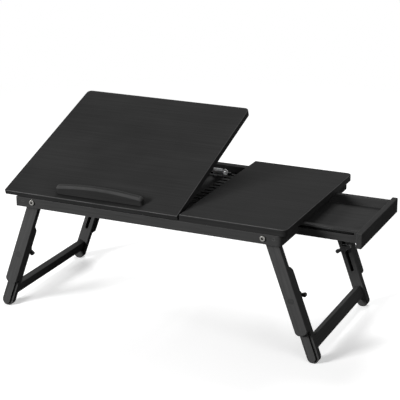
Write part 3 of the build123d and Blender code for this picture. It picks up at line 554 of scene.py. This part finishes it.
def wing_plate(bm, sizes, low, high):
    """Both wings of a knob along X, wider at their ends, between two heights."""
    made = bmesh.ops.create_cube(bm, size=1.0)["verts"]
    bmesh.ops.scale(bm, vec=(sizes.wing_span, sizes.wing_neck, high - low), verts=made)
    bmesh.ops.translate(bm, vec=(0, 0, (low + high) / 2), verts=made)
    flare = sizes.knob_hub_radius * WING_FLARE_SHARE
    for x in (-flare, flare):
        bmesh.ops.bisect_plane(bm, geom=bm.verts[:] + bm.edges[:] + bm.faces[:], plane_co=(x, 0, 0),
                               plane_no=(1, 0, 0))
    ends = [vert for vert in bm.verts if abs(vert.co.x) > sizes.wing_span * WING_END_SHARE]
    bmesh.ops.scale(bm, vec=(1, sizes.wing_end / sizes.wing_neck, 1), verts=ends)
    corners = [edge for edge in bm.edges if all(vert in ends for vert in edge.verts)
               and abs(edge.verts[0].co.z - edge.verts[1].co.z) > sizes.wing_edge]
    bmesh.ops.bevel(bm, geom=corners, offset=sizes.wing_end * WING_ROUND_SHARE, affect="EDGES", segments=6,
                    profile=0.5, material=-1)
    rims = [edge for edge in bm.edges if edge.calc_face_angle(0) > SHARP_ANGLE]
    bmesh.ops.bevel(bm, geom=rims, offset=sizes.wing_edge, affect="EDGES", segments=3, profile=0.5,
                    material=-1)


def wing_knob(sizes, height):
    """Wing knob standing on its bolt, along Z, with its wings along X."""
    bm = bmesh.new()
    wing_plate(bm, sizes, height - sizes.wing_height, height)
    radius = sizes.knob_hub_radius
    skirt = sizes.knob_skirt
    bore = sizes.knob_bore_radius
    cap = height - sizes.knob_cap
    dish = radius * DISH_SHARE
    # Small steps of the hub's outline, in metres: the dish, the rounded rim, the hub's draft, the step
    # onto the skirt and the skirt's rounding
    dish_depth = 0.0007
    dish_slope = 0.0006
    rim_width = 0.0016
    rim_fall = 0.0014
    rim_shoulder = 0.0007
    round_edge = 0.0004
    draft = 0.0005
    skirt_step = 0.0001
    turned_body(bm, [
        (0, height - dish_depth), (dish, height - dish_depth), (dish + dish_slope, height),
        (radius - rim_width, height), (radius - rim_shoulder, height - round_edge),
        (radius - round_edge, height - rim_fall), (radius - draft, skirt + draft),
        (radius - skirt_step, skirt), (radius, skirt - round_edge), (radius, round_edge),
        (radius - round_edge, 0), (bore, 0), (bore, cap), (0, cap)], sizes.turning_steps)
    return bm


def knob_turn(node, place):
    """Direction of a knob's wings, from the farthest corner of its solid."""
    corners = [vert.co - place for vert in frame["nodes"][node].data.vertices]
    reach = max(corners, key=lambda corner: corner.x ** 2 + corner.z ** 2)
    return Vector((reach.x, 0, reach.z)).normalized()


def cross_screw(bm, head_radius, head_height, reach, place):
    """Countersunk screw with a cross recess, its head up along Z at the origin, taken to its place."""
    before = set(bm.verts)
    half = head_radius * CROSS_SQUARE_SHARE
    cell = 2 * half / CROSS_CELLS
    shank_radius = head_radius * SHANK_SHARE
    bmesh.ops.create_grid(bm, x_segments=CROSS_CELLS, y_segments=CROSS_CELLS, size=half)
    top = [vert for vert in bm.verts if vert not in before]
    for vert in top:
        if vert.is_boundary:
            vert.co = vert.co.normalized() * head_radius
    middles = {face: face.calc_center_median() for vert in top for face in vert.link_faces}
    cross = [face for face, middle in middles.items()
             if min(abs(middle.x), abs(middle.y)) < cell / 2 and middle.length < CROSS_REACH_CELLS * cell]
    sunk = bmesh.ops.extrude_face_region(bm, geom=cross)["geom"]
    floor = [item for item in sunk if isinstance(item, bmesh.types.BMVert)]
    bmesh.ops.translate(bm, vec=(0, 0, -head_height * CROSS_DEPTH_SHARE), verts=floor)
    rim = [edge for vert in top if vert.is_valid for edge in vert.link_edges if edge.is_boundary]
    for share, drop in ((1, HEAD_RIM_SHARE * head_height), (SHANK_SHARE, HEAD_CONE_SHARE * head_height),
                        (1, reach - head_height), (TIP_SHARE, shank_radius)):
        grown = bmesh.ops.extrude_edge_only(bm, edges=list(dict.fromkeys(rim)))["geom"]
        verts = [item for item in grown if isinstance(item, bmesh.types.BMVert)]
        bmesh.ops.scale(bm, vec=(share, share, 1), verts=verts)
        bmesh.ops.translate(bm, vec=(0, 0, -drop), verts=verts)
        rim = [item for item in grown if isinstance(item, bmesh.types.BMEdge) and item.is_boundary]
    bmesh.ops.holes_fill(bm, edges=rim)
    made = [vert for vert in bm.verts if vert not in before]
    bmesh.ops.transform(bm, matrix=place, verts=made)


def leaf_screw(bm, sizes, place):
    """Small screw of a hinge leaf or the prop's bracket, taken to its place."""
    radius = sizes.leaf_screw_radius
    cross_screw(bm, radius, radius * LEAF_HEAD_SHARE, sizes.leaf_screw_length, place)


def facing(place, out):
    """Matrix that takes Z to an outward direction at a place."""
    return Matrix.Translation(place) @ Vector(out).to_track_quat("Z", "Y").to_matrix().to_4x4()


def tilted(place, turn):
    """Place turned about the panel's hinge: by the tilt to the raised panel, or back by minus the tilt."""
    return TILT_PLACE + Matrix.Rotation(turn, 3, "X") @ (Vector(place) - TILT_PLACE)


def around(middle, spread):
    """Two places on either side of a middle, a spread apart."""
    return middle - spread / 2, middle + spread / 2


def hinge_middles(leaf_length):
    """X places of the two hinges, from the box of their pins."""
    low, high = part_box("panel_hinge_pins")
    return low[0] + leaf_length / 2, high[0] - leaf_length / 2


class LAPTOPTABLE_OT_boards(bpy.types.Operator):
    """Paint the tilting panel and the side board"""
    bl_idname = "laptop_table.boards"
    bl_label = "Top Boards"

    def execute(self, context):
        finish = context.scene.laptop_table_finish
        finish_nodes(("tilt_panel",), painted_board("black_painted_fibreboard_panel", finish.board_paint,
                                                    finish.rub_and_highlight_paint, TILT))
        finish_nodes(("side_board",), painted_board("black_painted_fibreboard", finish.board_paint,
                                                    finish.rub_and_highlight_paint))
        return {"FINISHED"}


class LAPTOPTABLE_OT_rails(bpy.types.Operator):
    """Paint the rails, the racks and the drawer's bearers"""
    bl_idname = "laptop_table.rails"
    bl_label = "Rails"

    def execute(self, context):
        finish = context.scene.laptop_table_finish
        finish_nodes(LONG_RAILS, painted_wood("black_painted_pine_long", finish.rail_paint,
                                              finish.rub_and_highlight_paint, ALONG))
        finish_nodes(CROSS_RAILS, painted_wood("black_painted_pine_cross", finish.rail_paint,
                                               finish.rub_and_highlight_paint, ACROSS))
        return {"FINISHED"}


class LAPTOPTABLE_OT_rest_bar(bpy.types.Operator):
    """Paint the arched rest bar"""
    bl_idname = "laptop_table.rest_bar"
    bl_label = "Rest Bar"

    def execute(self, context):
        finish = context.scene.laptop_table_finish
        # The rest bar's rounded top and edges are lightened by a painted highlight, partly rubbed paint
        finish_nodes(("rest_bar",), painted_wood("black_painted_pine_rest_bar", finish.rest_paint,
                                                 shaded(finish.rub_and_highlight_paint, 0.6), ALONG, TILT))
        return {"FINISHED"}


class LAPTOPTABLE_OT_legs(bpy.types.Operator):
    """Paint the legs and crossbars"""
    bl_idname = "laptop_table.legs"
    bl_label = "Legs"

    def execute(self, context):
        finish = context.scene.laptop_table_finish
        for side in SIDES:
            legs = [f"{side}_{lane}_{part}_leg" for lane in LANES for part in ("upper", "lower")]
            finish_nodes(legs, painted_wood(f"black_painted_pine_{side}_legs", finish.leg_paint,
                                            finish.rub_and_highlight_paint, leg_turn(side)))
        crossbars = [f"{side}_crossbar" for side in SIDES]
        finish_nodes(crossbars, painted_wood("black_painted_pine_crossbars", finish.leg_paint,
                                             finish.rub_and_highlight_paint, ACROSS))
        return {"FINISHED"}


class LAPTOPTABLE_OT_drawer(bpy.types.Operator):
    """Paint the drawer"""
    bl_idname = "laptop_table.drawer"
    bl_label = "Drawer"

    def execute(self, context):
        finish = context.scene.laptop_table_finish
        finish_nodes(DRAWER_LONG, painted_wood("black_painted_pine_drawer_sides", finish.rail_paint,
                                               finish.rub_and_highlight_paint, ALONG))
        finish_nodes(DRAWER_CROSS, painted_wood("black_painted_pine_drawer_front", finish.rail_paint,
                                                finish.rub_and_highlight_paint, ACROSS))
        return {"FINISHED"}


class LAPTOPTABLE_OT_hardware(bpy.types.Operator):
    """Plate the bolts, the hinges and the prop, and finish the dowels and washers"""
    bl_idname = "laptop_table.hardware"
    bl_label = "Bolts, Hinges and Prop"

    def execute(self, context):
        finish = context.scene.laptop_table_finish
        dull_nickel = shaded(finish.nickel, 0.6)
        dull_zinc = shaded(finish.zinc, 0.65)
        finish_nodes(PLATED_BOLTS, plated_steel("nickel_plated_steel", finish.nickel, dull_nickel,
                                                roughness=0.28))
        finish_nodes(PROP_STEEL, plated_steel("zinc_plated_steel", finish.zinc, dull_zinc, roughness=0.4,
                                              metal=0.5))
        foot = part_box("prop_arm_right")[1][1] - context.scene.laptop_table_sizes.prop_foot
        finish_nodes(PROP_ARMS, plated_steel("blackened_zinc_steel", finish.zinc, dull_zinc, roughness=0.4,
                                             metal=0.1, black=finish.black_oxide, bare_from=foot))
        finish_nodes(BLACK_STEEL, plated_steel("black_oxide_steel", finish.black_oxide, finish.rub_and_highlight_paint,
                                               roughness=0.45))
        finish_nodes(CLAMP_BOLTS, painted_board("black_painted_steel", finish.bolt_cap, finish.rub_and_highlight_paint))
        finish_nodes(("leg_pivot_washers",), moulded_plastic("black_nylon_washers", finish.knob_plastic))
        finish_nodes(DOWELS, bare_beech("bare_beech", finish.beech))
        return {"FINISHED"}


class LAPTOPTABLE_OT_wing_knobs(bpy.types.Operator):
    """Model the four wing knobs"""
    bl_idname = "laptop_table.wing_knobs"
    bl_label = "Wing Knobs"

    def execute(self, context):
        sizes = context.scene.laptop_table_sizes
        material = moulded_plastic("black_nylon_knobs", context.scene.laptop_table_finish.knob_plastic)
        for side in SIDES:
            for lane in LANES:
                node = f"{side}_{lane}_wing_knob"
                low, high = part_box(node)
                place = Vector(JOINTS[f"{side}_{lane}_knob_turn"]["pos_m"])
                up = Vector((0, 1 if lane == "front" else -1, 0))
                place.y = low[1] if lane == "front" else high[1]
                across = knob_turn(node, place)
                turn = Matrix((across, up.cross(across), up)).transposed()
                bm = wing_knob(sizes, high[1] - low[1])
                bmesh.ops.transform(bm, matrix=Matrix.Translation(place) @ turn.to_4x4(), verts=bm.verts)
                finished_piece(bm, f"{side}_{lane}_nylon_knob", BODY_OF[node], material,
                               (node,))
        return {"FINISHED"}


class LAPTOPTABLE_OT_hinge_screws(bpy.types.Operator):
    """Model the screws of the hinges and the prop bracket"""
    bl_idname = "laptop_table.hinge_screws"
    bl_label = "Hinge and Bracket Screws"

    def execute(self, context):
        sizes = context.scene.laptop_table_sizes
        finish = context.scene.laptop_table_finish
        rail_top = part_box("front_rail")[1][2]
        panel_under = 2 * TILT_PLACE.z - rail_top
        down = Matrix.Rotation(TILT, 3, "X") @ Vector((0, 0, -1))
        rail_screws = bmesh.new()
        panel_screws = bmesh.new()
        bracket_screws = bmesh.new()
        for middle in hinge_middles(sizes.leaf_length):
            for x in around(middle, sizes.leaf_screw_spread):
                place = Vector((x, TILT_PLACE.y + sizes.rail_screw_setback, rail_top))
                leaf_screw(rail_screws, sizes, facing(place, (0, 0, 1)))
                place = tilted((x, TILT_PLACE.y + sizes.panel_screw_setback, panel_under), TILT)
                leaf_screw(panel_screws, sizes, facing(place, down))
        pivot = tilted(JOINTS["prop_fold"]["pos_m"], -TILT)
        low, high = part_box("prop_bracket")
        for x in around((low[0] + high[0]) / 2, sizes.bracket_screw_spread):
            for y in around(pivot.y, sizes.bracket_screw_spread):
                leaf_screw(bracket_screws, sizes, facing(tilted((x, y, panel_under), TILT), down))
        black = plated_steel("black_oxide_screws", finish.black_oxide, finish.rub_and_highlight_paint, roughness=0.4)
        zinc = plated_steel("zinc_plated_screws", finish.zinc, shaded(finish.zinc, 0.6), roughness=0.3)
        finished_piece(rail_screws, "rail_leaf_screws", "frame", black)
        finished_piece(panel_screws, "panel_leaf_screws", "panel", black)
        finished_piece(bracket_screws, "prop_bracket_screws", "panel", zinc)
        return {"FINISHED"}


class LAPTOPTABLE_OT_board_screws(bpy.types.Operator):
    """Model the screws that hold the side board to the rails"""
    bl_idname = "laptop_table.board_screws"
    bl_label = "Side Board Screws"

    def execute(self, context):
        sizes = context.scene.laptop_table_sizes
        finish = context.scene.laptop_table_finish
        node = "side_board_screws"
        low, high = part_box(node)
        radius = sizes.board_screw_radius
        reach = high[2] - low[2] - radius * SHANK_SHARE
        screws = bmesh.new()
        for x in (low[0] + radius, high[0] - radius):
            for y in (low[1] + radius, high[1] - radius):
                cross_screw(screws, radius, sizes.board_screw_head, reach,
                            facing(Vector((x, y, low[2])), (0, 0, -1)))
        zinc = plated_steel("zinc_plated_board_screws", finish.zinc, shaded(finish.zinc, 0.6),
                            roughness=0.32)
        finished_piece(screws, "cross_head_board_screws", BODY_OF[node], zinc, (node,))
        return {"FINISHED"}


def soft_box(name, place, width, power):
    """Square soft lamp at a place, turned to the table."""
    lamp = bpy.data.lights.new(name, "AREA")
    lamp.shape = "SQUARE"
    lamp.size = width
    lamp.energy = power
    box = bpy.data.objects.new(name, lamp)
    box.location = place
    box.rotation_euler = (Vector(LAMP_AIM) - Vector(place)).to_track_quat("-Z", "Y").to_euler()
    bpy.context.scene.collection.objects.link(box)
    return box


def seen_rays(tree):
    """One for rays that show the backdrop, to the camera or in a reflection, and zero for the others."""
    path = add(tree, "ShaderNodeLightPath")
    shown = add(tree, "ShaderNodeMath", {0: path.outputs["Is Camera Ray"], 1: path.outputs["Is Glossy Ray"]},
                operation="MAXIMUM")
    return add(tree, "ShaderNodeMath", {0: shown.outputs[0], 1: path.outputs["Is Transmission Ray"]},
               operation="MAXIMUM").outputs[0]


def floor_material(stage):
    """Plain pale floor, lifted to white for the camera, that keeps the shadow."""
    # Seamless paper: even, matt and nearly white
    material, tree = new_material("pale_paper_floor")
    matt = add(tree, "ShaderNodeBsdfDiffuse", {"Color": tuple(stage.floor_colour)})
    lift = add(tree, "ShaderNodeEmission", {"Strength": stage.floor_lift})
    lifted = add(tree, "ShaderNodeAddShader", {0: matt.outputs["BSDF"], 1: lift.outputs["Emission"]})
    # Past the lamps' reach the paper fades to plain white
    place = add(tree, "ShaderNodeTexCoord").outputs["Object"]
    reach = add(tree, "ShaderNodeVectorMath", {0: place}, operation="LENGTH")
    far = add(tree, "ShaderNodeMapRange", {"Value": reach.outputs["Value"], "From Min": stage.floor_fade,
                                           "From Max": FADE_SPAN * stage.floor_fade})
    white = add(tree, "ShaderNodeEmission", {"Strength": 1.0})
    paper = add(tree, "ShaderNodeMixShader", {0: far.outputs["Result"], 1: lifted.outputs["Shader"],
                                              2: white.outputs["Emission"]})
    dim = add(tree, "ShaderNodeBsdfDiffuse", {"Color": tuple(stage.floor_bounce)})
    floor = add(tree, "ShaderNodeMixShader", {0: seen_rays(tree), 1: dim.outputs["BSDF"],
                                              2: paper.outputs["Shader"]})
    add(tree, "ShaderNodeOutputMaterial", {"Surface": floor.outputs["Shader"]})
    return material


def studio_world(stage):
    """World that is white to look at and lights the table evenly and weakly."""
    world = bpy.data.worlds.new("studio")
    world.use_nodes = True
    tree = world.node_tree
    tree.nodes.clear()
    strength = add(tree, "ShaderNodeMapRange", {"Value": seen_rays(tree), "To Min": stage.surround,
                                                "To Max": 1.0})
    sky = add(tree, "ShaderNodeBackground", {"Color": (1.0, 1.0, 1.0, 1.0),
                                             "Strength": strength.outputs["Result"]})
    add(tree, "ShaderNodeOutputWorld", {"Surface": sky.outputs["Background"]})
    return world


def fixed_camera(stage):
    """Camera at its place, turned by its yaw, pitch and roll."""
    yaw, pitch, roll = stage.camera_yaw, stage.camera_pitch, stage.camera_roll
    ahead = Vector((-sin(yaw) * cos(pitch), cos(yaw) * cos(pitch), -sin(pitch)))
    level = ahead.cross(Vector((0, 0, 1))).normalized()
    upright = level.cross(ahead)
    right = cos(roll) * level + sin(roll) * upright
    up = cos(roll) * upright - sin(roll) * level
    lens = bpy.data.cameras.new("camera")
    lens.sensor_width = SENSOR_WIDTH
    lens.lens = stage.camera_lens
    lens.clip_end = CAMERA_REACH
    camera = bpy.data.objects.new("camera", lens)
    turn = Matrix((right, up, -ahead)).transposed()
    camera.matrix_world = Matrix.Translation(stage.camera_place) @ turn.to_4x4()
    bpy.context.scene.collection.objects.link(camera)
    return camera


class LAPTOPTABLE_OT_stage(bpy.types.Operator):
    """Set out the floor, the lamps and the camera"""
    bl_idname = "laptop_table.stage"
    bl_label = "Stage"

    def execute(self, context):
        stage = context.scene.laptop_table_stage
        bm = bmesh.new()
        bmesh.ops.create_grid(bm, x_segments=1, y_segments=1, size=stage.floor_size / 2)
        bmesh.ops.translate(bm, vec=(0, 0, cad_box[0].z), verts=bm.verts)
        mesh = bpy.data.meshes.new("floor")
        bm.to_mesh(mesh)
        bm.free()
        mesh.materials.append(floor_material(stage))
        floor = bpy.data.objects.new("floor", mesh)
        context.scene.collection.objects.link(floor)
        soft_box("front_lamp", FRONT_LAMP_PLACE, FRONT_LAMP_WIDTH, stage.front_lamp)
        soft_box("top_lamp", TOP_LAMP_PLACE, TOP_LAMP_WIDTH, stage.top_lamp)
        soft_box("side_lamp", SIDE_LAMP_PLACE, SIDE_LAMP_WIDTH, stage.side_lamp)
        context.scene.world = studio_world(stage)
        context.scene.camera = fixed_camera(stage)
        context.scene.view_settings.view_transform = "Standard"
        return {"FINISHED"}


OPERATORS = (LAPTOPTABLE_OT_boards, LAPTOPTABLE_OT_rails, LAPTOPTABLE_OT_rest_bar, LAPTOPTABLE_OT_legs,
             LAPTOPTABLE_OT_drawer, LAPTOPTABLE_OT_hardware, LAPTOPTABLE_OT_wing_knobs,
             LAPTOPTABLE_OT_hinge_screws, LAPTOPTABLE_OT_board_screws, LAPTOPTABLE_OT_stage)


class LAPTOPTABLE_PT_sidebar(bpy.types.Panel):
    """Pieces, colours and stage of the laptop table"""
    bl_idname = "LAPTOPTABLE_PT_sidebar"
    bl_label = "Laptop Table"
    bl_space_type = "VIEW_3D"
    bl_region_type = "UI"
    bl_category = "Laptop Table"

    def draw(self, context):
        for operator in OPERATORS:
            self.layout.operator(operator.bl_idname)
        for group in (context.scene.laptop_table_finish, context.scene.laptop_table_sizes,
                      context.scene.laptop_table_stage):
            box = self.layout.box()
            for name in group.bl_rna.properties.keys():
                if name not in ("rna_type", "name"):
                    box.prop(group, name)


GROUPS = {"laptop_table_finish": LaptopTableFinish, "laptop_table_sizes": LaptopTableSizes,
          "laptop_table_stage": LaptopTableStage}


def register():
    """Register the settings, the operators and the panel."""
    for name, group in GROUPS.items():
        bpy.utils.register_class(group)
        setattr(bpy.types.Scene, name, PointerProperty(type=group))
    for made in OPERATORS + (LAPTOPTABLE_PT_sidebar,):
        bpy.utils.register_class(made)


def unregister():
    """Take the panel, the operators and the settings out again."""
    for made in (LAPTOPTABLE_PT_sidebar,) + OPERATORS[::-1]:
        bpy.utils.unregister_class(made)
    for name, group in GROUPS.items():
        delattr(bpy.types.Scene, name)
        bpy.utils.unregister_class(group)


def main():
    """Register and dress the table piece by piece."""
    register()
    bpy.ops.laptop_table.boards()
    bpy.ops.laptop_table.rails()
    bpy.ops.laptop_table.rest_bar()
    bpy.ops.laptop_table.legs()
    bpy.ops.laptop_table.drawer()
    bpy.ops.laptop_table.hardware()
    bpy.ops.laptop_table.wing_knobs()
    bpy.ops.laptop_table.hinge_screws()
    bpy.ops.laptop_table.board_screws()
    bpy.ops.laptop_table.stage()


if __name__ == "__main__":
    main()
